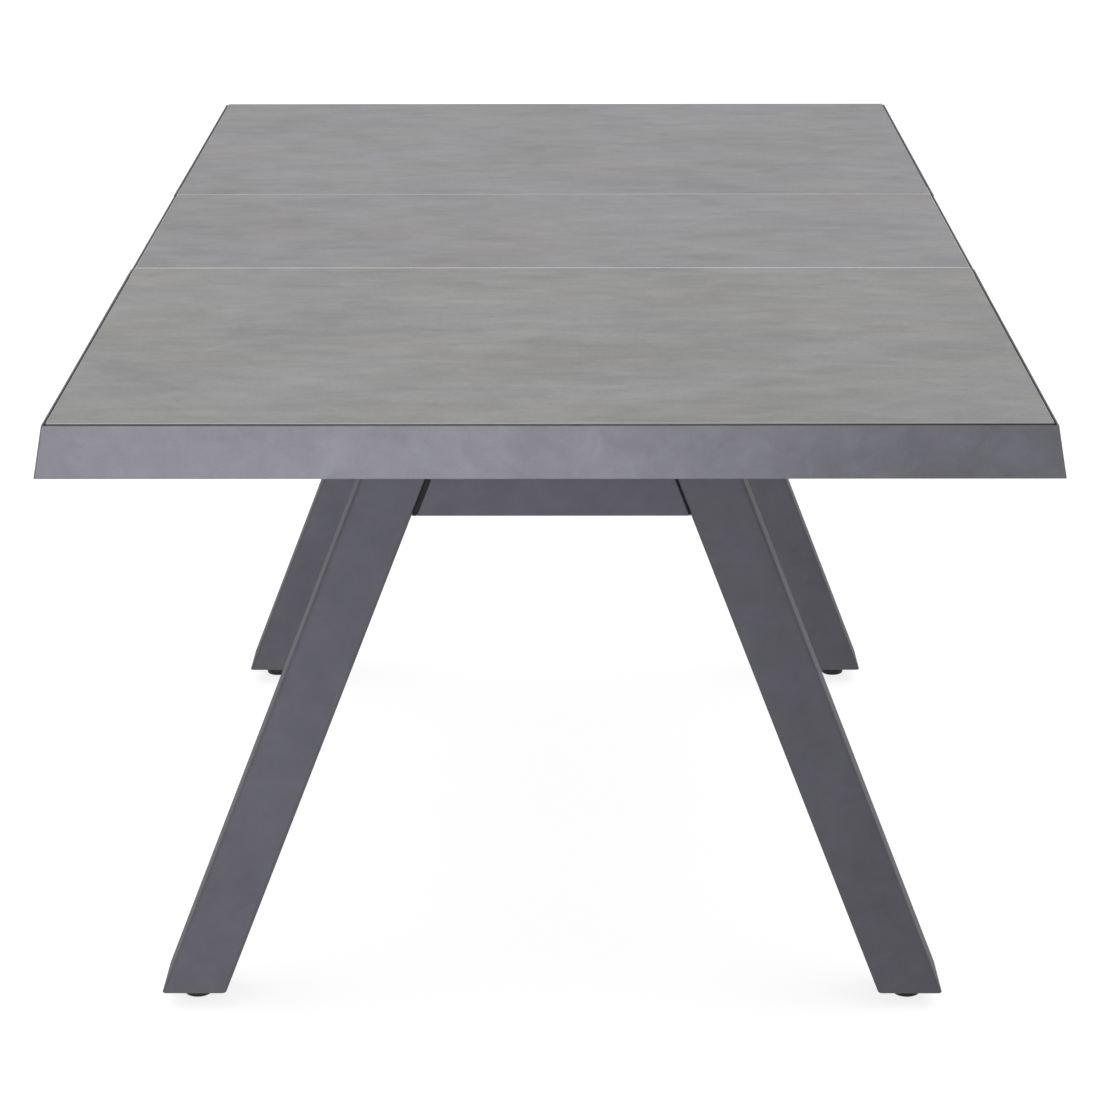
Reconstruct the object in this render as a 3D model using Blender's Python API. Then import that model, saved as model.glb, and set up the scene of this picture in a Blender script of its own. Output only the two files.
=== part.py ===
"""Extendable dining table with a self-storing centre leaf.

X runs across the table, Y along it and Z up, in metres, with the origin on the floor under the middle.
"Front" is -Y, "back" is +Y, "left" is -X and "right" is +X. The table stands open: the two halves of the
top are apart and the leaf lies between them. To close it, each half slides to the middle on runners, while
four parallel links swing the leaf down and under the front half.
"""

import math

import bmesh
import bpy
from mathutils import Vector

# Overall size
HEIGHT = 0.759
OPEN_LENGTH = 2.100
WIDTH = 1.000
LEAF_LENGTH = 0.500
SEAM_GAP = 0.0015
GAP = 0.0003
WELD = 0.000001

# Top: panels carried in a flared metal surround, whose lip is a little lower than the panels
PANEL_THICKNESS = 0.006
PANEL_GROOVE = 0.0018
PANEL_CORNER = 0.0015
LIP_DEPTH = 0.002
APRON_LOW_DEPTH = 0.053
APRON_FLARE = 0.008
APRON_WALL = 0.002
APRON_CORNER = 0.0018
LEDGE_WIDTH = 0.018
LEDGE_THICKNESS = 0.0025
CORNER_STEPS = 3

# Cross rails under the panels
RAIL_WIDTH = 0.040
RAIL_THICKNESS = 0.014
RAIL_WALL = 0.0018
HALF_RAILS = {"rail_seam": 0.045, "rail_middle": 0.390, "rail_end": 0.667}

# Leaf
LEAF_INSET = 0.0005
LEAF_DEPTH = 0.0195
LEAF_RAIL_Y = 0.200
LEAF_RAILS = {"front": -1, "back": 1}

# Swing links of the leaf
LINK_LENGTH = 0.130
LINK_SWING = math.radians(140)
LINK_RADIUS = 0.0085
LINK_BORE = 0.0045
LINK_INNER_X = 0.292
LINK_OUTER_X = 0.300
PIVOT_DEPTH = 0.030
PIVOT_Y = {"front": -0.435, "back": 0.265}
PIN_RADIUS = 0.004
PIN_BITE = 0.002
EAR_INNER_X = 0.303
EAR_OUTER_X = 0.311
EAR_ROOT_Y = 0.170
BRACKET_INNER_X = 0.2753
BRACKET_OUTER_X = 0.2905
BRACKET_LOW_DEPTH = 0.070
BRACKET_FOOT = (0.290, 0.330)
ROUND_STEPS = 24

# Runners on the halves, in guides on the base
SLIDE_X = 0.250
GUIDE_HALF_WIDTH = 0.025
GUIDE_WALL = 0.0025
GUIDE_TOP_DEPTH = 0.029
GUIDE_LOW_DEPTH = 0.079
GUIDE_SLOT = 0.0125
GUIDE_Y = (0.285, 0.700)
RUNNER_HALF_WIDTH = 0.0217
RUNNER_NECK = 0.0115
RUNNER_PLAY = 0.001
RUNNER_WALL = 0.0025
RUNNER_Y = (0.352, 0.940)

# Legs, splayed outwards across the table
FOOT_HEIGHT = 0.019
LEG_FOOT_X = 0.434
LEG_WIDTH = 0.071
LEG_SPLAY = 0.3875
LEG_Y = (0.565, 0.665)
LEG_WALL = 0.003
LEG_CORNER = 0.005
CAP_HEIGHT = 0.015
CAP_PLAY = 0.0004
STEM_RADIUS = 0.004
STEM_BORE = 0.0045
STEM_TOP = 0.032

# Base frame
CROSSBAR_BOTTOM = 0.568
CROSSBAR_WALL = 0.003
CROSSBAR_SET_BACK = 0.001
SPACER = {"left": 0.005, "right": 0.0013}
CARRIER_HALF_LENGTH = 0.300
CARRIER_THICKNESS = 0.015
CARRIER_SET_BACK = 0.005
CARRIER_WALL = 0.002
SPINE_HALF_WIDTH = 0.030
SPINE_BOTTOM = 0.569
SPINE_TOP = 0.604
SPINE_WALL = 0.002

# Clearance that the halves keep from the swinging leaf
CLEAR_DEPTH = 0.062
CLEAR_STEPS = 12
CLEAR_MARGIN = 0.0004
CLEAR_BEYOND = 0.020

# Worked out
LIP_X = WIDTH / 2 - APRON_FLARE
LIP_Y = OPEN_LENGTH / 2 - APRON_FLARE
SEAM_Y = LEAF_LENGTH / 2 + SEAM_GAP / 2
SLIDE_TRAVEL = LEAF_LENGTH / 2
LEAF_HALF_X = LIP_X - LEAF_INSET
LEAF_HALF_Y = LEAF_LENGTH / 2 - SEAM_GAP / 2
LEDGE_DEPTH = PANEL_THICKNESS + GAP
RAIL_LOW_DEPTH = LEDGE_DEPTH + RAIL_THICKNESS
GUIDE_BOTTOM = HEIGHT - GUIDE_LOW_DEPTH
CARRIER_TOP = GUIDE_BOTTOM - GAP
CARRIER_BOTTOM = CARRIER_TOP - CARRIER_THICKNESS
LEG_TOP = CARRIER_BOTTOM - GAP
LEG_MIDDLE_Y = sum(LEG_Y) / 2
PIVOT_Z = HEIGHT - PIVOT_DEPTH

SIDES = {"left": -1, "right": 1}
ENDS = {"front": -1, "back": 1}

# name: (linear colour, roughness, metallic)
FINISHES = {
    "slate_panel": ((0.257, 0.257, 0.257), 0.55, 0.0),
    "surround_metal": ((0.150, 0.149, 0.170), 0.45, 0.3),
    "frame_metal": ((0.080, 0.079, 0.092), 0.45, 0.3),
    "runner_aluminium": ((0.560, 0.560, 0.570), 0.35, 1.0),
    "link_steel": ((0.400, 0.400, 0.410), 0.35, 1.0),
    "black_plastic": ((0.012, 0.012, 0.013), 0.50, 0.0),
}


def clear_scene():
    for obj in list(bpy.data.objects):
        bpy.data.objects.remove(obj, do_unlink=True)


def finish(name):
    """The material of this name, made the first time it is asked for."""
    material = bpy.data.materials.get(name)
    if material:
        return material
    colour, roughness, metallic = FINISHES[name]
    material = bpy.data.materials.new(name)
    material.use_nodes = True
    shader = material.node_tree.nodes["Principled BSDF"]
    shader.inputs["Base Color"].default_value = (*colour, 1)
    shader.inputs["Roughness"].default_value = roughness
    shader.inputs["Metallic"].default_value = metallic
    material.diffuse_color = (*colour, 1)
    return material


def pivot(name, location):
    """An empty on a joint's axis, which carries the pieces that move together."""
    empty = bpy.data.objects.new(name, None)
    empty.location = location
    empty.empty_display_size = 0.05
    bpy.context.scene.collection.objects.link(empty)
    return empty


def solid(name, rings, material, parent, holes=(), origin=None):
    """One closed body lofted through rings of world points, with through holes lofted the same way."""
    origin = Vector(parent.location if origin is None else origin)
    mesh = bmesh.new()
    ends = ([], [])
    for loft in (rings, *holes):
        rows = [[mesh.verts.new(Vector(point) - origin) for point in ring] for ring in loft]
        for low, high in zip(rows, rows[1:]):
            for i in range(len(low)):
                mesh.faces.new((low[i - 1], low[i], high[i], high[i - 1]))
        for end, row in zip(ends, (rows[0], rows[-1])):
            end.extend(mesh.edges.get((row[i - 1], row[i])) for i in range(len(row)))
    for end in ends:
        bmesh.ops.triangle_fill(mesh, edges=end, use_beauty=True)
    bmesh.ops.remove_doubles(mesh, verts=mesh.verts, dist=WELD)
    bmesh.ops.recalc_face_normals(mesh, faces=mesh.faces)
    data = bpy.data.meshes.new(name)
    mesh.to_mesh(data)
    mesh.free()
    data.shade_smooth()
    data.set_sharp_from_angle(angle=math.radians(35))
    data.materials.append(finish(material))
    obj = bpy.data.objects.new(name, data)
    obj.parent = parent
    obj.location = origin - Vector(parent.location)
    bpy.context.scene.collection.objects.link(obj)
    return obj


def combine(obj, other, operation):
    """Joins a helper to this object, or cuts it away. The helper itself is left out of the model."""
    other.hide_render = True
    other.display_type = "WIRE"
    boolean = obj.modifiers.new(other.name, "BOOLEAN")
    boolean.operation = operation
    boolean.object = other
    boolean.solver = "EXACT"


def arc(centre, radius, start, end, steps):
    """Points on an arc in a plane, with its angles in degrees."""
    angles = [math.radians(start + (end - start) * i / steps) for i in range(steps + 1)]
    return [(centre[0] + radius * math.cos(a), centre[1] + radius * math.sin(a)) for a in angles]


def rounded_rectangle(half_a, half_b, radius, centre=(0, 0), steps=CORNER_STEPS):
    corners = ((1, 1, 0), (-1, 1, 90), (-1, -1, 180), (1, -1, 270))
    outline = []
    for side_a, side_b, start in corners:
        middle = (centre[0] + side_a * (half_a - radius), centre[1] + side_b * (half_b - radius))
        outline += arc(middle, radius, start, start + 90, steps)
    return outline


def rectangle(low_a, low_b, high_a, high_b):
    return [(low_a, low_b), (high_a, low_b), (high_a, high_b), (low_a, high_b)]


def circle(centre, radius):
    return arc(centre, radius, 0, 360 * (1 - 1 / ROUND_STEPS), ROUND_STEPS - 1)


def across(outline, *xs):
    """Rings of an outline in Y and Z, one at each X."""
    return [[(x, y, z) for y, z in outline] for x in xs]


def along(outline, *ys):
    """Rings of an outline in X and Z, one at each Y."""
    return [[(x, y, z) for x, z in outline] for y in ys]


def upright(outline, *zs):
    """Rings of an outline in X and Y, one at each Z."""
    return [[(x, y, z) for x, y in outline] for z in zs]


# The top


def apron_profile(flare):
    """Skin and panel ledge of a surround, as (outward from the lip, depth below the panel's top) pairs."""
    low = APRON_LOW_DEPTH if flare else LEAF_DEPTH
    slope = flare / (low - LIP_DEPTH)
    ledge_low = LEDGE_DEPTH + LEDGE_THICKNESS
    ledge_edge = -APRON_WALL - LEDGE_WIDTH
    return [
        (0, LIP_DEPTH),
        (flare, low),
        (flare - APRON_WALL, low),
        (slope * (ledge_low - LIP_DEPTH) - APRON_WALL, ledge_low),
        (ledge_edge, ledge_low),
        (ledge_edge, LEDGE_DEPTH),
        (-APRON_WALL, LEDGE_DEPTH),
        (-APRON_WALL, LIP_DEPTH),
    ]


def corner_offset(outward, angle):
    """How far a profile point stands beyond the lip's corner, across and along, part way round the corner."""
    across_corner = outward - APRON_CORNER * (1 - math.cos(angle))
    along_corner = outward - APRON_CORNER * (1 - math.sin(angle))
    return across_corner, along_corner


def corner_angles():
    return [math.radians(45) * i / CORNER_STEPS for i in range(CORNER_STEPS + 1)]


def side_apron(name, side, end, parent):
    """A long apron from the seam to the mitre at its outer corner."""
    profile = apron_profile(APRON_FLARE)
    rings = [[(side * (LIP_X + u), end * SEAM_Y, HEIGHT - depth) for u, depth in profile]]
    for angle in corner_angles():
        ring = []
        for u, depth in profile:
            beyond_x, beyond_y = corner_offset(u, angle)
            y = LIP_Y + beyond_y - GAP
            ring.append((side * (LIP_X + beyond_x), end * y, HEIGHT - depth))
        rings.append(ring)
    return solid(name, rings, "surround_metal", parent)


def end_apron(name, end, parent):
    """The apron across the table's end, from mitre to mitre."""
    profile = apron_profile(APRON_FLARE)
    stations = [(-1, angle) for angle in reversed(corner_angles())]
    stations += [(1, angle) for angle in corner_angles()]
    rings = []
    for side, angle in stations:
        ring = []
        for u, depth in profile:
            beyond_y, beyond_x = corner_offset(u, angle)
            ring.append((side * (LIP_X + beyond_x), end * (LIP_Y + beyond_y), HEIGHT - depth))
        rings.append(ring)
    return solid(name, rings, "surround_metal", parent)


def leaf_clearance(end, parent):
    """A cutter with the shape that the leaf's upper edge sweeps past one half, as the table closes."""
    full = math.asin(CLEAR_DEPTH / LINK_LENGTH)
    outline = [(end * (SEAM_Y - CLEAR_BEYOND), HEIGHT)]
    for i in range(CLEAR_STEPS + 1):
        swing = full * i / CLEAR_STEPS
        closing = SLIDE_TRAVEL * swing / LINK_SWING
        back = closing + LINK_LENGTH * (1 - math.cos(swing)) - SEAM_GAP + CLEAR_MARGIN
        outline.append((end * (SEAM_Y + back), HEIGHT - LINK_LENGTH * math.sin(swing)))
    outline.append((end * (SEAM_Y - CLEAR_BEYOND), HEIGHT - CLEAR_DEPTH))
    half = LEAF_HALF_X + GAP
    name = "leaf_clearance_back" if end > 0 else "leaf_clearance_front"
    return solid(name, across(outline, -half, half), "frame_metal", parent)


def half_panel(name, end, parent):
    half_x = LIP_X - APRON_WALL - PANEL_GROOVE
    far_y = LIP_Y - APRON_WALL - PANEL_GROOVE
    outline = [(-half_x, SEAM_Y), (half_x, SEAM_Y)]
    inset = (half_x - PANEL_CORNER, far_y - PANEL_CORNER)
    outline += arc(inset, PANEL_CORNER, 0, 90, CORNER_STEPS)
    outline += arc((-inset[0], inset[1]), PANEL_CORNER, 90, 180, CORNER_STEPS)
    outline = [(x, end * y) for x, y in outline]
    return solid(name, upright(outline, HEIGHT - PANEL_THICKNESS, HEIGHT), "slate_panel", parent)


def cross_rail(name, middle_y, thickness, half_length, parent):
    """A flat tube across the table, close under a panel."""
    top = HEIGHT - LEDGE_DEPTH
    low_y = middle_y - RAIL_WIDTH / 2
    high_y = middle_y + RAIL_WIDTH / 2
    outer = rectangle(low_y, top - thickness, high_y, top)
    inner = rectangle(low_y + RAIL_WALL, top - thickness + RAIL_WALL, high_y - RAIL_WALL, top - RAIL_WALL)
    tube = across(outer, -half_length, half_length)
    bore = across(inner, -half_length, half_length)
    return solid(name, tube, "frame_metal", parent, [bore])


def runner(name, side, end, parent):
    """A hollow T section under one half, whose foot is held in the guide."""
    low = GUIDE_BOTTOM + GUIDE_WALL + RUNNER_PLAY
    shoulder = HEIGHT - GUIDE_TOP_DEPTH - GUIDE_WALL - RUNNER_PLAY
    top = HEIGHT - RAIL_LOW_DEPTH - GAP
    right = [(RUNNER_HALF_WIDTH, low), (RUNNER_HALF_WIDTH, shoulder), (RUNNER_NECK, shoulder), (RUNNER_NECK, top)]
    outline = right + [(-a, z) for a, z in reversed(right)]
    bore_half = RUNNER_HALF_WIDTH - RUNNER_WALL
    bore = rectangle(-bore_half, low + RUNNER_WALL, bore_half, shoulder - RUNNER_WALL)
    middle = side * SLIDE_X
    ys = [end * y for y in RUNNER_Y]
    tube = along([(middle + a, z) for a, z in outline], *ys)
    hole = along([(middle + a, z) for a, z in bore], *ys)
    return solid(name, tube, "runner_aluminium", parent, [hole])


def top_half(end_name, parent):
    """Panel, surround, cross rails and runners of one half of the top."""
    end = ENDS[end_name]
    cutter = leaf_clearance(end, parent)
    combine(half_panel(f"{end_name}_panel", end, parent), cutter, "DIFFERENCE")
    for side_name, side in SIDES.items():
        apron = side_apron(f"{end_name}_apron_{side_name}", side, end, parent)
        combine(apron, cutter, "DIFFERENCE")
        runner(f"{end_name}_runner_{side_name}", side, end, parent)
    end_apron(f"{end_name}_apron_end", end, parent)
    half_length = LIP_X - APRON_WALL - LEDGE_WIDTH - GAP
    for rail_name, distance in HALF_RAILS.items():
        middle_y = end * (SEAM_Y + distance)
        cross_rail(f"{end_name}_{rail_name}", middle_y, RAIL_THICKNESS, half_length, parent)


# The leaf


def leaf_rim(name, side, parent):
    profile = apron_profile(0)
    outline = [(side * (LEAF_HALF_X + u), HEIGHT - depth) for u, depth in profile]
    return solid(name, along(outline, -LEAF_HALF_Y, LEAF_HALF_Y), "surround_metal", parent)


def leaf_ear(end_name, side, parent):
    """A plate under the leaf with the pin that one swing link carries."""
    end = ENDS[end_name]
    pin_y = PIVOT_Y[end_name] + LINK_LENGTH
    leaf_top = HEIGHT - LEAF_DEPTH - GAP
    low = PIVOT_Z - LINK_RADIUS
    edge = end * (LEAF_HALF_Y - GAP)
    outline = [(end * EAR_ROOT_Y, low), (end * EAR_ROOT_Y, leaf_top), (edge, leaf_top)]
    outline.append((edge + end * GAP, PIVOT_Z + LINK_RADIUS))
    nose = arc((0, 0), LINK_RADIUS, 90, -90, ROUND_STEPS // 2)
    outline += [(pin_y + end * a, PIVOT_Z + b) for a, b in nose]
    name = f"leaf_ear_{end_name}_{'right' if side > 0 else 'left'}"
    ear = solid(name, across(outline, side * EAR_INNER_X, side * EAR_OUTER_X), "link_steel", parent)
    pin_ends = (side * (LINK_INNER_X - GAP), side * (EAR_INNER_X + PIN_BITE))
    pin_rings = across(circle((pin_y, PIVOT_Z), PIN_RADIUS), *pin_ends)
    combine(ear, solid(f"{name}_pin", pin_rings, "link_steel", parent), "UNION")


def leaf(parent):
    half_x = LEAF_HALF_X - APRON_WALL - PANEL_GROOVE
    outline = rectangle(-half_x, -LEAF_HALF_Y, half_x, LEAF_HALF_Y)
    solid("leaf_panel", upright(outline, HEIGHT - PANEL_THICKNESS, HEIGHT), "slate_panel", parent)
    thickness = LEAF_DEPTH - LEDGE_DEPTH
    half_length = LEAF_HALF_X - APRON_WALL - LEDGE_WIDTH - GAP
    for end_name, end in LEAF_RAILS.items():
        cross_rail(f"leaf_rail_{end_name}", end * LEAF_RAIL_Y, thickness, half_length, parent)
    for side_name, side in SIDES.items():
        leaf_rim(f"leaf_rim_{side_name}", side, parent)
        for end_name in ENDS:
            leaf_ear(end_name, side, parent)


# The swing links and their brackets


def swing_link(end_name, side_name):
    """A flat bar with a bore at each end. It turns about its pivot on the base."""
    side = SIDES[side_name]
    start = PIVOT_Y[end_name]
    origin = ((side * (LINK_INNER_X + LINK_OUTER_X) / 2), start, PIVOT_Z)
    axis = pivot(f"pivot_{end_name}_{side_name}", origin)
    outline = arc((start, PIVOT_Z), LINK_RADIUS, 90, 270, ROUND_STEPS // 2)
    outline += arc((start + LINK_LENGTH, PIVOT_Z), LINK_RADIUS, -90, 90, ROUND_STEPS // 2)
    xs = (side * LINK_INNER_X, side * LINK_OUTER_X)
    bores = [across(circle((y, PIVOT_Z), LINK_BORE), *xs) for y in (start, start + LINK_LENGTH)]
    return solid(f"swing_link_{end_name}_{side_name}", across(outline, *xs), "link_steel", axis, bores)


def bracket_outline(end_name):
    """The bracket's outline in Y and Z: a boss round the pin, and a foot on the guide's side."""
    pin_y = PIVOT_Y[end_name]
    low = HEIGHT - BRACKET_LOW_DEPTH
    boss = (pin_y, PIVOT_Z)
    if end_name == "front":
        rise = arc(boss, LINK_RADIUS, 0, 180, ROUND_STEPS // 2)
        return [(pin_y - LINK_RADIUS, low), (pin_y + LINK_RADIUS, low)] + rise
    foot_start, foot_end = BRACKET_FOOT
    nose = arc(boss, LINK_RADIUS, 90, 225, ROUND_STEPS // 2)
    return [(foot_start, low), (foot_end, low), (foot_end, PIVOT_Z + LINK_RADIUS)] + nose


def pivot_bracket(end_name, side_name, parent):
    """A bracket on the outside of a guide, with the pin that one swing link turns on."""
    side = SIDES[side_name]
    plate = across(bracket_outline(end_name), side * BRACKET_INNER_X, side * BRACKET_OUTER_X)
    name = f"pivot_bracket_{end_name}_{side_name}"
    bracket = solid(name, plate, "frame_metal", parent)
    pin_ends = (side * (BRACKET_OUTER_X - PIN_BITE), side * (LINK_OUTER_X + GAP))
    pin_rings = across(circle((PIVOT_Y[end_name], PIVOT_Z), PIN_RADIUS), *pin_ends)
    combine(bracket, solid(f"{name}_pin", pin_rings, "frame_metal", parent), "UNION")


# The base


def guide(name, side, end, parent):
    """A channel open at the top, whose lips hold the runner's foot down."""
    low = GUIDE_BOTTOM
    top = HEIGHT - GUIDE_TOP_DEPTH
    inside = GUIDE_HALF_WIDTH - GUIDE_WALL
    right = [
        (GUIDE_HALF_WIDTH, low),
        (GUIDE_HALF_WIDTH, top),
        (GUIDE_SLOT, top),
        (GUIDE_SLOT, top - GUIDE_WALL),
        (inside, top - GUIDE_WALL),
        (inside, low + GUIDE_WALL),
    ]
    outline = right + [(-a, z) for a, z in reversed(right)]
    outline = [(side * SLIDE_X + a, z) for a, z in outline]
    return solid(name, along(outline, *[end * y for y in GUIDE_Y]), "frame_metal", parent)


def leg_middle_x(z):
    return LEG_FOOT_X - LEG_WIDTH / 2 - LEG_SPLAY * (z - FOOT_HEIGHT)


def leg_rings(side, end, inset, zs):
    """Level sections through a leg, drawn in from its outer face by the inset."""
    half_depth = (LEG_Y[1] - LEG_Y[0]) / 2
    rings = []
    for z in zs:
        centre = (side * leg_middle_x(z), end * LEG_MIDDLE_Y)
        radius = max(LEG_CORNER - inset, LEG_CORNER / 4)
        outline = rounded_rectangle(LEG_WIDTH / 2 - inset, half_depth - inset, radius, centre)
        rings.append([(x, y, z) for x, y in outline])
    return rings


def leg(name, side, end, parent):
    zs = (FOOT_HEIGHT, LEG_TOP)
    bore = leg_rings(side, end, LEG_WALL, zs)
    return solid(name, leg_rings(side, end, 0, zs), "frame_metal", parent, [bore])


def foot_centre(side, end):
    return side * leg_middle_x(FOOT_HEIGHT), end * LEG_MIDDLE_Y


def leg_cap(name, side, end, parent):
    """The plug in a leg's lower end, with the hole for the foot's stem."""
    zs = (FOOT_HEIGHT + GAP, FOOT_HEIGHT + CAP_HEIGHT)
    hole = upright(circle(foot_centre(side, end), STEM_BORE), *zs)
    plug = leg_rings(side, end, LEG_WALL + CAP_PLAY, zs)
    return solid(name, plug, "black_plastic", parent, [hole])


def foot(side_name, end_name):
    """A domed glide on a stem, which turns in the leg's cap."""
    centre = foot_centre(SIDES[side_name], ENDS[end_name])
    axis = pivot(f"foot_axis_{end_name}_{side_name}", (*centre, 0))
    neck = FOOT_HEIGHT - GAP
    turned = [(0.0125, 0), (0.0143, 0.0009), (0.0152, 0.0026), (0.0155, 0.0050), (0.0155, 0.0105), (0.0145, 0.0122)]
    turned += [(0.0080, 0.0130), (0.0080, neck), (STEM_RADIUS, neck), (STEM_RADIUS, STEM_TOP)]
    rings = [[(x, y, z) for x, y in circle(centre, radius)] for radius, z in turned]
    return solid(f"foot_{end_name}_{side_name}", rings, "black_plastic", axis)


def leg_inner_x(z):
    return leg_middle_x(z) - LEG_WIDTH / 2


def crossbar_reach(side_name, z):
    """How far the crossbar goes out to one side, at a height: parallel to the leg, short by the spacer."""
    return SIDES[side_name] * (leg_inner_x(z) - SPACER[side_name] - 2 * GAP)


def crossbar(name, end, parent):
    """A tube between two legs, with its ends cut to the legs' slope."""
    low_y = LEG_Y[0] + CROSSBAR_SET_BACK
    high_y = LEG_Y[1] - CROSSBAR_SET_BACK
    wall = CROSSBAR_WALL
    outer = rectangle(low_y, CROSSBAR_BOTTOM, high_y, LEG_TOP)
    inner = rectangle(low_y + wall, CROSSBAR_BOTTOM + wall, high_y - wall, LEG_TOP - wall)
    tube, bore = (
        [[(crossbar_reach(side_name, z), end * y, z) for y, z in outline] for side_name in SIDES]
        for outline in (outer, inner)
    )
    return solid(name, tube, "frame_metal", parent, [bore])


def crossbar_spacer(name, side_name, end, parent):
    """The black plate between a crossbar's end and its leg."""
    low_y = LEG_Y[0] + CROSSBAR_SET_BACK
    high_y = LEG_Y[1] - CROSSBAR_SET_BACK
    outline = rectangle(low_y, CROSSBAR_BOTTOM, high_y, LEG_TOP)
    inner = [(crossbar_reach(side_name, z) + SIDES[side_name] * GAP, end * y, z) for y, z in outline]
    outer = [(SIDES[side_name] * (leg_inner_x(z) - GAP), end * y, z) for y, z in outline]
    return solid(name, [inner, outer], "black_plastic", parent)


def carrier(name, end, parent):
    """The flat tube on top of two legs, which carries the guides."""
    low_y = LEG_Y[0] + CARRIER_SET_BACK
    high_y = LEG_Y[1] - CARRIER_SET_BACK
    wall = CARRIER_WALL
    outer = rectangle(low_y, CARRIER_BOTTOM, high_y, CARRIER_TOP)
    inner = rectangle(low_y + wall, CARRIER_BOTTOM + wall, high_y - wall, CARRIER_TOP - wall)
    xs = (-CARRIER_HALF_LENGTH, CARRIER_HALF_LENGTH)
    tube, bore = (across([(end * y, z) for y, z in outline], *xs) for outline in (outer, inner))
    return solid(name, tube, "frame_metal", parent, [bore])


def spine(parent):
    """The low beam between the two crossbars, clear under the swinging leaf."""
    reach = LEG_Y[0] + CROSSBAR_SET_BACK - GAP
    half = SPINE_HALF_WIDTH
    outer = rectangle(-half, SPINE_BOTTOM, half, SPINE_TOP)
    half -= SPINE_WALL
    inner = rectangle(-half, SPINE_BOTTOM + SPINE_WALL, half, SPINE_TOP - SPINE_WALL)
    tube = along(outer, -reach, reach)
    return solid("spine_beam", tube, "frame_metal", parent, [along(inner, -reach, reach)])


def base(parent):
    spine(parent)
    for end_name, end in ENDS.items():
        crossbar(f"crossbar_{end_name}", end, parent)
        carrier(f"carrier_{end_name}", end, parent)
        for side_name, side in SIDES.items():
            corner = f"{end_name}_{side_name}"
            leg(f"leg_{corner}", side, end, parent)
            leg_cap(f"leg_cap_{corner}", side, end, parent)
            crossbar_spacer(f"crossbar_spacer_{corner}", side_name, end, parent)
            guide(f"guide_{corner}", side, end, parent)
            pivot_bracket(end_name, side_name, parent)


def main():
    clear_scene()
    base(pivot("base_frame", (0, 0, 0)))
    for end_name, end in ENDS.items():
        top_half(end_name, pivot(f"{end_name}_top", (0, end * SEAM_Y, HEIGHT)))
        for side_name in SIDES:
            swing_link(end_name, side_name)
            foot(side_name, end_name)
    leaf(pivot("leaf", (0, PIVOT_Y["front"] + LINK_LENGTH, PIVOT_Z)))


main()
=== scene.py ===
"""Looks of the extendable dining table: finishes, seals, small hardware and a plain studio."""

import math

import bmesh
import bpy
from mathutils import Matrix, Vector

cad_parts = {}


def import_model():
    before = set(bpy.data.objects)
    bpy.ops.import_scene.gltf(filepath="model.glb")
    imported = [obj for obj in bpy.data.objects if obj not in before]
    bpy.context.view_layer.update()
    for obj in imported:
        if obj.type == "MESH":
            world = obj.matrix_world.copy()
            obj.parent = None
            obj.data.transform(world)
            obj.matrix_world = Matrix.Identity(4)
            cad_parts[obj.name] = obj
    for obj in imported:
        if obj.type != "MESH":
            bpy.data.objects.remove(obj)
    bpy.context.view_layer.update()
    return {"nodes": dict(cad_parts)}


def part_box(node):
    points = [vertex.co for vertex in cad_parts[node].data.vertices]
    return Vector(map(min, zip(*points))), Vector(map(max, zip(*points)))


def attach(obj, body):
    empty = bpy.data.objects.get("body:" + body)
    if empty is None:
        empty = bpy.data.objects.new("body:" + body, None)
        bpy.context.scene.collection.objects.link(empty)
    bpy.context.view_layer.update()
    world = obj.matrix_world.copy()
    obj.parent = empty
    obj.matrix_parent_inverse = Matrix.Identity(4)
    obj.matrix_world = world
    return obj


SIDES = {"left": -1, "right": 1}
ENDS = {"front": -1, "back": 1}

# Camera
LENS = 124.096
CAMERA_PLACE = (0.0150, -4.6065, 1.6007)
CAMERA_PITCH = 0.26517
CAMERA_YAW = 0.00419
CAMERA_ROLL = -0.0015
CAMERA_CLIP = (0.1, 200)
SENSOR_WIDTH = 36

# Studio
FLOOR_HALF = 45.0
SKY_LOW = 0.50
SKY_HIGH = 1.16
FLOOR_TONE = 0.40
FLOOR_GLOW = 0.80

# name: (place, aim, width, height, spread in degrees, watts, colour)
LIGHTS = {
    "softbox": ((-0.50, -3.7, 0.66), (-0.30, -1.05, 0.50), 1.05, 1.3, 16, 2.2, (1.0, 0.99, 1.0)),
}

# Panels: a cloudy stone look, with chamfers painted lighter: partly the raw edge's paler colour, partly a
# painted highlight that is near white along the seams
PANEL_DARK = 0.170
PANEL_LIGHT = 0.340
# name: (pattern offset, warm tint, cool tint)
PANELS = {
    "front_panel": ((3.1, 0.4, 0), (1.02, 1.0, 0.955), (0.985, 0.99, 1.015)),
    "leaf_panel": ((7.7, 5.2, 0), (1.02, 0.975, 0.975), (0.985, 0.985, 1.05)),
    "back_panel": ((1.3, 9.6, 0), (1.02, 0.98, 0.98), (0.98, 0.985, 1.05)),
}
# Painted highlight on the chamfers: near white within SEAM_ZONE of the middle, along the seams, and a paler
# grey, partly the raw edge's colour, on the outer edges
SEAM_ZONE = 0.30
SEAM_EDGE_HIGHLIGHT = 0.95
OUTER_EDGE_HIGHLIGHT = 0.34
PANEL_SIDE = 0.055

# Powder coats: (dark, light). One powder coat in a lit copy for the surround and a copy painted darker, as
# painted shade under the top, for the frame
SURROUND_COAT_LIT = ((0.101, 0.100, 0.117), (0.145, 0.144, 0.168))
FRAME_COAT_SHADED = ((0.070, 0.069, 0.083), (0.089, 0.088, 0.105))

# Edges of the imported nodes
WELD_DISTANCE = 0.00002
PANEL_CHAMFER = 0.0011
TUBE_EDGE = 0.0007
SHEET_EDGE = 0.0004
LINK_EDGE = 0.0003
SPACER_EDGE = 0.0001
TUBES = ("crossbar", "leg", "carrier", "spine")

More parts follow.
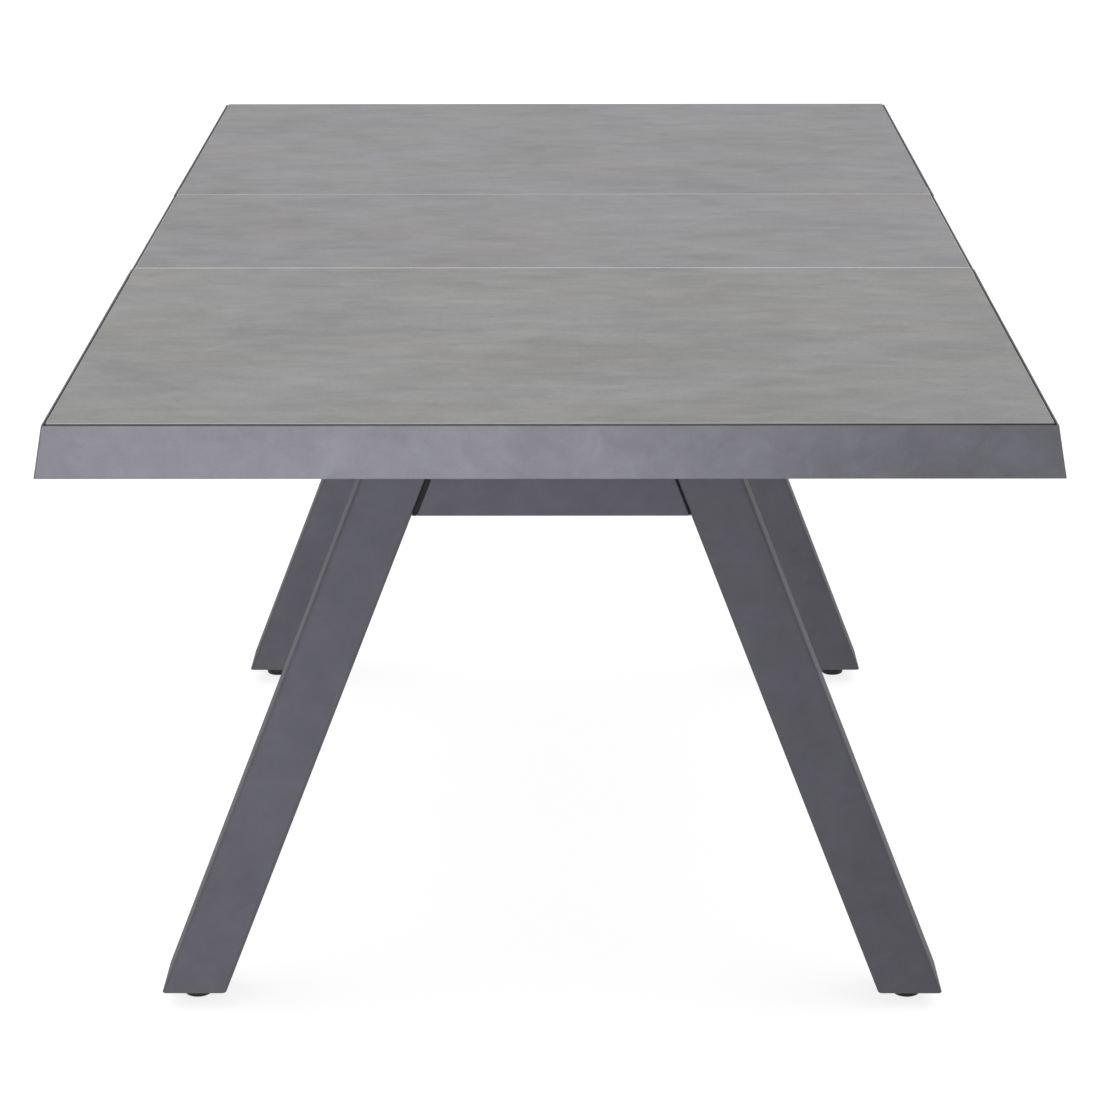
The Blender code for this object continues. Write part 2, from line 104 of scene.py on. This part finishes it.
# Seals, which lie in the groove between panel and surround
GROOVE_HALF = 0.0009
SEAL_HALF = 0.00085
SEAL_TOP = 0.0030
SEAL_LOW = 0.0060
SEAL_CROWN = 0.0003
SEAL_CORNER = 0.0024
CORNER_STEPS = 5
SEAM_CLEAR = 0.005
LEAF_END_CLEAR = 0.0005

# Plugs, shoes, bolts, screws and welds
CONTACT_GAP = 0.0001
PLUG_INSET = 0.0006
PLUG_HEIGHT = 0.0418
PLUG_PROUD = 0.0025
PLUG_EDGE = 0.0006
SHOE_THICKNESS = 0.002
SHOE_EDGE = 0.0003
GUIDE_WALL = 0.0025
GUIDE_SLOT_HALF = 0.0125
BOLT_REACH = 0.025
CAP_GAP = 0.0003
BRACKET_FACE = 0.0015
SCREW_HEIGHT = 0.012
BACK_SCREWS = (0.010, 0.030)
BEAD_STEPS = 44
BEAD_SIDES = 10
BEAD_RADIUS = 0.0020
BEAD_RIPPLE = 0.0003
BEAD_END = 0.007
BEAD_DROP = 0.0022


# Node helpers


def new_finish(name):
    """A material, its node tree and its shader."""
    material = bpy.data.materials.new(name)
    material.use_nodes = True
    return material, material.node_tree, material.node_tree.nodes["Principled BSDF"]


def add(tree, kind, settings, inputs):
    """A shader node with these settings. An input is a value, or a socket to link."""
    made = tree.nodes.new("ShaderNode" + kind)
    for key, value in settings.items():
        setattr(made, key, value)
    for key, value in inputs.items():
        if isinstance(value, bpy.types.NodeSocket):
            tree.links.new(value, made.inputs[key])
        else:
            made.inputs[key].default_value = value
    return made


def surface_place(tree, scale=(1, 1, 1), offset=(0, 0, 0)):
    """Metres on the object, moved and scaled."""
    coordinates = tree.nodes.get("Texture Coordinate") or add(tree, "TexCoord", {}, {})
    inputs = {"Vector": coordinates.outputs["Object"], "Location": offset, "Scale": scale}
    return add(tree, "Mapping", {}, inputs).outputs["Vector"]


def noise(tree, place, scale, detail=2.0, roughness=0.5, distortion=0.0):
    inputs = {"Vector": place, "Scale": scale, "Detail": detail, "Roughness": roughness}
    inputs["Distortion"] = distortion
    return add(tree, "TexNoise", {}, inputs).outputs["Fac"]


def math_node(tree, operation, first, second):
    return add(tree, "Math", {"operation": operation}, {0: first, 1: second}).outputs[0]


def weighted(tree, parts):
    """0.5 plus each value's distance from 0.5, times its weight."""
    total = None
    for value, weight in parts:
        swing = math_node(tree, "SUBTRACT", value, 0.5)
        swing = math_node(tree, "MULTIPLY", swing, weight)
        total = swing if total is None else math_node(tree, "ADD", total, swing)
    return math_node(tree, "ADD", total, 0.5)


def fit_range(tree, value, low, high, to_low, to_high):
    inputs = {"Value": value, "From Min": low, "From Max": high}
    inputs.update({"To Min": to_low, "To Max": to_high})
    return add(tree, "MapRange", {}, inputs).outputs["Result"]


def mix(tree, factor, first, second, blend="MIX"):
    inputs = {0: factor, 6: first, 7: second}
    return add(tree, "Mix", {"data_type": "RGBA", "blend_type": blend}, inputs).outputs[2]


def bump(tree, shader, height, strength, distance):
    inputs = {"Height": height, "Strength": strength, "Distance": distance}
    made = add(tree, "Bump", {}, inputs)
    tree.links.new(made.outputs["Normal"], shader.inputs["Normal"])


def grey(value):
    return (value, value, value, 1)


def solid_colour(rgb):
    return (*rgb, 1)


# Finishes


def panel_finish(name, offset, warm, cool):
    """Honed stone look: soft clouds, faint streaks across the table, fine grain, and chamfers painted
    lighter, partly a paler raw edge and partly a painted highlight that is brightest along the seams.
    """
    material, tree, shader = new_finish(name)
    clouds = noise(tree, surface_place(tree, (1, 1.3, 1), offset), 4.5, 4, 0.6, 0.4)
    blotches = noise(tree, surface_place(tree, (1, 1.6, 1), offset), 15, 5, 0.6, 0.6)
    streaks = noise(tree, surface_place(tree, (1, 3.2, 1), offset), 12, 6, 0.7, 0.5)
    grain = noise(tree, surface_place(tree), 230, 4, 0.75)
    pores = noise(tree, surface_place(tree), 1500, 1, 0.5)
    parts = ((clouds, 0.8), (blotches, 0.85), (streaks, 0.55), (grain, 0.95), (pores, 0.2))
    tone = weighted(tree, parts)
    colour = mix(tree, tone, grey(PANEL_DARK), grey(PANEL_LIGHT))
    drift = noise(tree, surface_place(tree, (1, 1.5, 1), (offset[1], offset[0], 4)), 4.2, 3, 0.55)
    drift = fit_range(tree, drift, 0.36, 0.64, 0, 1)
    tint = mix(tree, drift, solid_colour(cool), solid_colour(warm))
    colour = mix(tree, 1.0, colour, tint, "MULTIPLY")
    normal = tree.nodes["Texture Coordinate"].outputs["Normal"]
    upward = add(tree, "SeparateXYZ", {}, {0: normal}).outputs["Z"]
    # Painted highlight: faces that tilt away from the top, the chamfers, take the edge highlight colour
    edge_highlight = fit_range(tree, upward, 0.85, 0.98, 1, 0)
    along = add(tree, "SeparateXYZ", {}, {0: surface_place(tree)}).outputs["Y"]
    outer = math_node(tree, "GREATER_THAN", math_node(tree, "ABSOLUTE", along, 0), SEAM_ZONE)
    colour = mix(tree, edge_highlight, colour, mix(tree, outer, grey(SEAM_EDGE_HIGHLIGHT), grey(OUTER_EDGE_HIGHLIGHT)))
    side = fit_range(tree, upward, 0.15, 0.45, 1, 0)
    colour = mix(tree, side, colour, grey(PANEL_SIDE))
    tree.links.new(colour, shader.inputs["Base Color"])
    sheen = weighted(tree, ((clouds, 0.5), (grain, 0.5)))
    tree.links.new(fit_range(tree, sheen, 0.3, 0.7, 0.46, 0.60), shader.inputs["Roughness"])
    bump(tree, shader, weighted(tree, ((grain, 0.6), (pores, 0.4))), 0.25, 0.0003)
    return material


def coat_finish(name, dark, light, metallic, roughness, shine):
    """Powder coat with metal flake: fine orange peel, and a cloudy unevenness."""
    material, tree, shader = new_finish(name)
    clouds = noise(tree, surface_place(tree), 9, 5, 0.65)
    blotches = noise(tree, surface_place(tree), 30, 4, 0.65, 0.7)
    peel = noise(tree, surface_place(tree), 650, 2, 0.5)
    flake = add(tree, "TexVoronoi", {}, {"Vector": surface_place(tree), "Scale": 1400}).outputs["Color"]
    flake = add(tree, "SeparateColor", {}, {0: flake}).outputs[0]
    tone = weighted(tree, ((clouds, 1.3), (blotches, 1.5), (flake, 0.35), (peel, 0.5)))
    colour = mix(tree, tone, solid_colour(dark), solid_colour(light))
    tree.links.new(colour, shader.inputs["Base Color"])
    sheen = weighted(tree, ((peel, 0.6), (flake, 0.4)))
    gloss = fit_range(tree, sheen, 0.2, 0.8, roughness - 0.06, roughness + 0.06)
    tree.links.new(gloss, shader.inputs["Roughness"])
    shader.inputs["Metallic"].default_value = metallic
    shader.inputs["Specular IOR Level"].default_value = shine
    bump(tree, shader, peel, 0.30, 0.0003)
    return material


def plastic_finish(name, value, roughness):
    """Moulded black plastic or rubber with a fine matt grain."""
    material, tree, shader = new_finish(name)
    grain = noise(tree, surface_place(tree), 1100, 2, 0.6)
    handling = noise(tree, surface_place(tree), 60, 3, 0.5)
    tone = weighted(tree, ((grain, 0.6), (handling, 0.4)))
    colour = mix(tree, tone, grey(value * 0.7), grey(value * 1.4))
    tree.links.new(colour, shader.inputs["Base Color"])
    gloss = fit_range(tree, handling, 0.3, 0.7, roughness - 0.07, roughness + 0.07)
    tree.links.new(gloss, shader.inputs["Roughness"])
    shader.inputs["Specular IOR Level"].default_value = 0.25
    bump(tree, shader, grain, 0.35, 0.0002)
    return material


def drawn_metal_finish(name, value, scale, roughness):
    """Bare metal with fine lines, drawn along the axis that scale leaves slack."""
    material, tree, shader = new_finish(name)
    lines = noise(tree, surface_place(tree, scale), 900, 3, 0.6)
    cloud = noise(tree, surface_place(tree), 22, 3, 0.6)
    tone = weighted(tree, ((lines, 0.8), (cloud, 0.5)))
    colour = mix(tree, tone, solid_colour((value * 0.82, value * 0.83, value * 0.85)), grey(value))
    tree.links.new(colour, shader.inputs["Base Color"])
    gloss = fit_range(tree, tone, 0.25, 0.75, roughness - 0.08, roughness + 0.08)
    tree.links.new(gloss, shader.inputs["Roughness"])
    shader.inputs["Metallic"].default_value = 1.0
    bump(tree, shader, lines, 0.2, 0.0001)
    return material


def make_finishes():
    finishes = {name: panel_finish(name, *look) for name, look in PANELS.items()}
    # The same powder coat twice: the frame's copy is painted darker than the surround's, as painted shade
    finishes["surround_metal"] = coat_finish("surround_coat_lit", *SURROUND_COAT_LIT, 0.17, 0.46, 0.25)
    finishes["frame_metal"] = coat_finish("frame_coat_shaded", *FRAME_COAT_SHADED, 0.05, 0.62, 0.15)
    finishes["black_plastic"] = plastic_finish("moulded_black", 0.007, 0.45)
    finishes["rubber"] = plastic_finish("black_rubber", 0.005, 0.70)
    finishes["runner_aluminium"] = drawn_metal_finish("drawn_aluminium", 0.62, (1, 0.02, 1), 0.34)
    finishes["link_steel"] = drawn_metal_finish("zinc_steel", 0.50, (1, 0.15, 0.15), 0.38)
    return finishes


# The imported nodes


def soften(obj, width):
    """Rounds a node's sharp edges a little, so that they catch the light as real ones do."""
    weld = obj.modifiers.new("weld", "WELD")
    weld.merge_threshold = WELD_DISTANCE
    bevel = obj.modifiers.new("bevel", "BEVEL")
    bevel.width = width
    bevel.segments = 2
    bevel.limit_method = "ANGLE"
    bevel.angle_limit = math.radians(32)
    bevel.use_clamp_overlap = False
    normals = obj.modifiers.new("normals", "WEIGHTED_NORMAL")
    normals.weight = 80
    normals.keep_sharp = False


def finish_of(name):
    """(finish, edge radius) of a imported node."""
    if name.endswith("panel"):
        return name, PANEL_CHAMFER
    if "apron" in name or "leaf_rim" in name:
        return "surround_metal", SHEET_EDGE
    if "runner" in name:
        return "runner_aluminium", SHEET_EDGE
    if "swing_link" in name or "leaf_ear" in name:
        return "link_steel", LINK_EDGE
    if name.startswith("crossbar_spacer"):
        return "rubber", SPACER_EDGE
    if name.startswith(("leg_cap", "foot")):
        return "black_plastic", SHEET_EDGE
    return "frame_metal", TUBE_EDGE if name.startswith(TUBES) else SHEET_EDGE


def dress_nodes(nodes, finishes):
    for name, obj in nodes.items():
        finish, edge = finish_of(name)
        for slot in obj.material_slots:
            slot.material = finishes[finish]
        soften(obj, edge)


# Meshes of the small pieces


def loft(rings):
    """A closed body through rings of points."""
    mesh = bmesh.new()
    rows = [[mesh.verts.new(point) for point in ring] for ring in rings]
    for low, high in zip(rows, rows[1:]):
        for i in range(len(low)):
            mesh.faces.new((low[i - 1], low[i], high[i], high[i - 1]))
    mesh.faces.new(rows[0])
    mesh.faces.new(rows[-1])
    bmesh.ops.recalc_face_normals(mesh, faces=mesh.faces)
    return mesh


def make_piece(name, mesh, finish, body, edge=0.0):
    data = bpy.data.meshes.new(name)
    mesh.to_mesh(data)
    mesh.free()
    data.shade_smooth()
    data.materials.append(finish)
    obj = bpy.data.objects.new(name, data)
    bpy.context.scene.collection.objects.link(obj)
    if edge:
        soften(obj, edge)
    else:
        data.set_sharp_from_angle(angle=math.radians(35))
    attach(obj, body)
    return obj


def turned(profile, sides, place, axis):
    """Rings of (radius, height) round an axis from a place."""
    turn = Vector((0, 0, 1)).rotation_difference(Vector(axis)).to_matrix()
    rings = []
    for radius, height in profile:
        ring = []
        for i in range(sides):
            angle = 2 * math.pi * (i + 0.5) / sides
            point = Vector((radius * math.cos(angle), radius * math.sin(angle), height))
            ring.append(Vector(place) + turn @ point)
        rings.append(ring)
    return rings


def extruded(outline, y, out, thickness):
    """Two rings of an outline of (x, z), from just off a face at y to a thickness."""
    return [[(x, y + out * shift, z) for x, z in outline] for shift in (CONTACT_GAP, thickness)]


def merge(*meshes):
    """One mesh of several bodies."""
    whole = bmesh.new()
    for mesh in meshes:
        copy = {vert: whole.verts.new(vert.co) for vert in mesh.verts}
        for face in mesh.faces:
            whole.faces.new([copy[vert] for vert in face.verts])
        mesh.free()
    return whole


def socket_bolt(place, axis):
    """A washer and a button head with a round socket."""
    washer = [(0.0042, 0), (0.0080, 0), (0.0082, 0.0003), (0.0080, 0.0012), (0.0042, 0.0012)]
    head = [(0.0055, 0.0012), (0.0064, 0.0016), (0.0064, 0.0024), (0.0056, 0.0038)]
    head += [(0.0042, 0.0046), (0.0026, 0.0048), (0.0024, 0.0046), (0.0024, 0.0022)]
    return merge(loft(turned(washer, 32, place, axis)), loft(turned(head, 24, place, axis)))


def flat_screw(place, axis):
    """The visible ring and socket of a countersunk screw, all but flush."""
    profile = [(0.0030, -0.0001), (0.0036, 0.0001), (0.0034, 0.0003)]
    profile += [(0.0018, 0.0003), (0.0016, 0.0002)]
    return loft(turned(profile, 24, place, axis))


def pin_cap(place, axis):
    """A push-on cap that holds a pin."""
    profile = [(0.0052, 0.0001), (0.0058, 0.0003), (0.0056, 0.0008)]
    profile += [(0.0036, 0.0010), (0.0020, 0.0011)]
    return loft(turned(profile, 28, place, axis))


# Seals round the panels


def seal_rings(path, top):
    """A thin bead along a path of (x, y, outward x, outward y)."""
    section = [(-1, SEAL_LOW), (1, SEAL_LOW), (1, SEAL_TOP), (0, SEAL_TOP - SEAL_CROWN), (-1, SEAL_TOP)]
    rings = []
    for x, y, out_x, out_y in path:
        ring = []
        for out, depth in section:
            reach = out * SEAL_HALF
            ring.append((x + out_x * reach, y + out_y * reach, top - depth))
        rings.append(ring)
    return rings


def corner_path(x, y, side, end, reverse):
    """The bead's path round one outer corner."""
    centre = (x - SEAL_CORNER, y - SEAL_CORNER)
    steps = [math.radians(90) * i / CORNER_STEPS for i in range(CORNER_STEPS + 1)]
    points = []
    for angle in reversed(steps) if reverse else steps:
        out_x, out_y = math.cos(angle), math.sin(angle)
        across = side * (centre[0] + SEAL_CORNER * out_x)
        along = end * (centre[1] + SEAL_CORNER * out_y)
        points.append((across, along, side * out_x, end * out_y))
    return points


def seals(finish):
    for end_name, end in ENDS.items():
        low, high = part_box(f"{end_name}_panel")
        x = high.x + GROOVE_HALF
        far = max(abs(low.y), abs(high.y)) + GROOVE_HALF
        near = min(abs(low.y), abs(high.y)) + SEAM_CLEAR
        path = [(-x, end * near, -1, 0), *corner_path(x, far, -1, end, False)]
        path += [*corner_path(x, far, 1, end, True), (x, end * near, 1, 0)]
        mesh = loft(seal_rings(path, high.z))
        make_piece(f"{end_name}_seal", mesh, finish, f"{end_name}_top")
    low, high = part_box("leaf_panel")
    for side_name, side in SIDES.items():
        x = side * (high.x + GROOVE_HALF)
        path = [(x, low.y + LEAF_END_CLEAR, side, 0), (x, high.y - LEAF_END_CLEAR, side, 0)]
        mesh = loft(seal_rings(path, high.z))
        make_piece(f"leaf_seal_{side_name}", mesh, finish, "leaf")


# Hardware under the top


def runner_plugs(finish):
    """Plastic plugs in both ends of each runner."""
    for end_name, end in ENDS.items():
        for side_name in SIDES:
            low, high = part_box(f"{end_name}_runner_{side_name}")
            left, right = low.x + PLUG_INSET, high.x - PLUG_INSET
            bottom = low.z + PLUG_INSET
            top = bottom + PLUG_HEIGHT
            outline = [(left, bottom), (right, bottom), (right, top), (left, top)]
            far = end * max(abs(low.y), abs(high.y))
            near = end * min(abs(low.y), abs(high.y))
            for where, y, out in (("outer", far, end), ("inner", near, -end)):
                rings = extruded(outline, y, out, PLUG_PROUD)
                name = f"{end_name}_runner_plug_{side_name}_{where}"
                make_piece(name, loft(rings), finish, f"{end_name}_top", PLUG_EDGE)


def guide_shoes(finish):
    """Plastic shoes on both mouths of each guide, which follow its open section."""
    for end_name in ENDS:
        for side_name in SIDES:
            low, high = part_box(f"guide_{end_name}_{side_name}")
            middle = (low.x + high.x) / 2
            half = (high.x - low.x) / 2
            inner, under = half - GUIDE_WALL, high.z - GUIDE_WALL
            right = [(half, low.z), (half, high.z), (GUIDE_SLOT_HALF, high.z), (GUIDE_SLOT_HALF, under)]
            right += [(inner, under), (inner, low.z + GUIDE_WALL)]
            outline = right + [(-x, z) for x, z in reversed(right)]
            outline = [(middle + x, z) for x, z in outline]
            for where, y, out in (("low", low.y, -1), ("high", high.y, 1)):
                rings = extruded(outline, y, out, SHOE_THICKNESS)
                name = f"guide_shoe_{end_name}_{side_name}_{where}"
                make_piece(name, loft(rings), finish, "base", SHOE_EDGE)


def guide_bolts(finish):
    """Bolts up through each carrier into a guide."""
    for end_name in ENDS:
        low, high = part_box(f"carrier_{end_name}")
        for side_name in SIDES:
            guide_low, guide_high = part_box(f"guide_{end_name}_{side_name}")
            x = (guide_low.x + guide_high.x) / 2
            for where, shift in (("low", -BOLT_REACH), ("high", BOLT_REACH)):
                place = (x, (low.y + high.y) / 2 + shift, low.z)
                mesh = socket_bolt(place, (0, 0, -1))
                name = f"guide_bolt_{end_name}_{side_name}_{where}"
                make_piece(name, mesh, finish, "base")


def pivot_hardware(steel):
    """Screws that hold the pivot brackets, and the caps on the links' pins."""
    for side_name, side in SIDES.items():
        for end_name in ENDS:
            corner = f"{end_name}_{side_name}"
            link_low, link_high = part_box(f"swing_link_{corner}")
            bracket_low, bracket_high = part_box(f"pivot_bracket_{corner}")
            pin_z = (link_low.z + link_high.z) / 2
            radius = (link_high.z - link_low.z) / 2
            inner, outer = sorted((abs(link_low.x), abs(link_high.x)))
            pin_y = link_low.y + radius
            mesh = pin_cap((side * (outer + CAP_GAP), pin_y, pin_z), (side, 0, 0))
            make_piece(f"pin_cap_{corner}", mesh, steel, "base")
            mesh = pin_cap((side * (inner - CAP_GAP), link_high.y - radius, pin_z), (-side, 0, 0))
            make_piece(f"ear_pin_cap_{corner}", mesh, steel, "leaf")
            screw_ys = [pin_y] if end_name == "front" else [bracket_high.y - depth for depth in BACK_SCREWS]
            for number, y in enumerate(screw_ys, 1):
                place = (side * (inner - BRACKET_FACE), y, bracket_low.z + SCREW_HEIGHT)
                mesh = flat_screw(place, (side, 0, 0))
                make_piece(f"bracket_screw_{corner}_{number}", mesh, steel, "base")


def leg_outer_at_top(name, side):
    """How far out a leg's outer face stands at its top end."""
    verts = bpy.data.objects[name].data.vertices
    high = max(vert.co.z for vert in verts)
    return max(side * vert.co.x for vert in verts if vert.co.z > high - 0.0001)


def bead_rings(x, z, side, start, length):
    """A rippled bead along Y."""
    rings = []
    for step in range(BEAD_STEPS + 1):
        y = start + length * step / BEAD_STEPS
        radius = BEAD_RADIUS + BEAD_RIPPLE * math.sin(step * 1.45)
        ring = []
        for corner in range(BEAD_SIDES):
            angle = 2 * math.pi * corner / BEAD_SIDES
            ring.append((side * (x + radius * math.cos(angle)), y, z + radius * math.sin(angle)))
        rings.append(ring)
    return rings


def weld_beads(finish):
    """Beads where the legs meet the carriers, along the legs' outer faces."""
    for end_name in ENDS:
        for side_name, side in SIDES.items():
            leg = f"leg_{end_name}_{side_name}"
            low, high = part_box(leg)
            length = high.y - low.y - 2 * BEAD_END
            outer = leg_outer_at_top(leg, side)
            rings = bead_rings(outer, high.z - BEAD_DROP, side, low.y + BEAD_END, length)
            make_piece(f"weld_{end_name}_{side_name}", loft(rings), finish, "base")


# Studio


def make_camera():
    level = math.cos(CAMERA_PITCH)
    drop = math.sin(CAMERA_PITCH)
    right = Vector((math.cos(CAMERA_YAW), math.sin(CAMERA_YAW), 0))
    forward = Vector((-right.y * level, right.x * level, -drop))
    up = right.cross(forward)
    rolled_right = math.cos(CAMERA_ROLL) * right + math.sin(CAMERA_ROLL) * up
    rolled_up = math.cos(CAMERA_ROLL) * up - math.sin(CAMERA_ROLL) * right
    matrix = Matrix((rolled_right, rolled_up, -forward)).transposed().to_4x4()
    matrix.translation = CAMERA_PLACE
    data = bpy.data.cameras.new("camera")
    data.lens = LENS
    data.sensor_width = SENSOR_WIDTH
    data.clip_start, data.clip_end = CAMERA_CLIP
    obj = bpy.data.objects.new("camera", data)
    obj.matrix_world = matrix
    bpy.context.scene.collection.objects.link(obj)
    bpy.context.scene.camera = obj


def make_floor():
    mesh = bmesh.new()
    bmesh.ops.create_grid(mesh, x_segments=2, y_segments=2, size=FLOOR_HALF)
    data = bpy.data.meshes.new("floor")
    mesh.to_mesh(data)
    mesh.free()
    material, tree, shader = new_finish("studio_floor")
    cloud = noise(tree, surface_place(tree), 1.5, 3, 0.5)
    colour = mix(tree, cloud, grey(FLOOR_TONE), grey(FLOOR_TONE + 0.02))
    tree.links.new(colour, shader.inputs["Base Color"])
    shader.inputs["Emission Color"].default_value = (1, 1, 1, 1)
    shader.inputs["Emission Strength"].default_value = FLOOR_GLOW
    shader.inputs["Roughness"].default_value = 0.9
    shader.inputs["Specular IOR Level"].default_value = 0.1
    data.materials.append(material)
    obj = bpy.data.objects.new("floor", data)
    bpy.context.scene.collection.objects.link(obj)


def make_sky():
    """A pale surround, brighter overhead than near the horizon."""
    world = bpy.data.worlds.new("studio")
    world.use_nodes = True
    tree = world.node_tree
    coordinates = add(tree, "TexCoord", {}, {})
    height = add(tree, "SeparateXYZ", {}, {0: coordinates.outputs["Generated"]}).outputs["Z"]
    strength = fit_range(tree, height, 0.0, 1.0, SKY_LOW, SKY_HIGH)
    tree.links.new(strength, tree.nodes["Background"].inputs["Strength"])
    tree.nodes["Background"].inputs["Color"].default_value = (1, 1, 1, 1)
    bpy.context.scene.world = world


def make_lights():
    for name, (place, aim, width, height, spread, watts, colour) in LIGHTS.items():
        data = bpy.data.lights.new(name, "AREA")
        data.shape = "RECTANGLE"
        data.size = width
        data.size_y = height
        data.spread = math.radians(spread)
        data.energy = watts
        data.color = colour
        obj = bpy.data.objects.new(name, data)
        obj.location = place
        obj.rotation_mode = "QUATERNION"
        obj.rotation_quaternion = (Vector(aim) - Vector(place)).to_track_quat("-Z", "Y")
        bpy.context.scene.collection.objects.link(obj)


def main():
    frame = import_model()
    make_camera()
    make_floor()
    make_sky()
    make_lights()
    bpy.context.scene.view_settings.view_transform = "Standard"
    finishes = make_finishes()
    dress_nodes(frame["nodes"], finishes)
    seals(finishes["rubber"])
    runner_plugs(finishes["black_plastic"])
    guide_shoes(finishes["black_plastic"])
    guide_bolts(finishes["link_steel"])
    pivot_hardware(finishes["link_steel"])
    weld_beads(finishes["frame_metal"])


main()
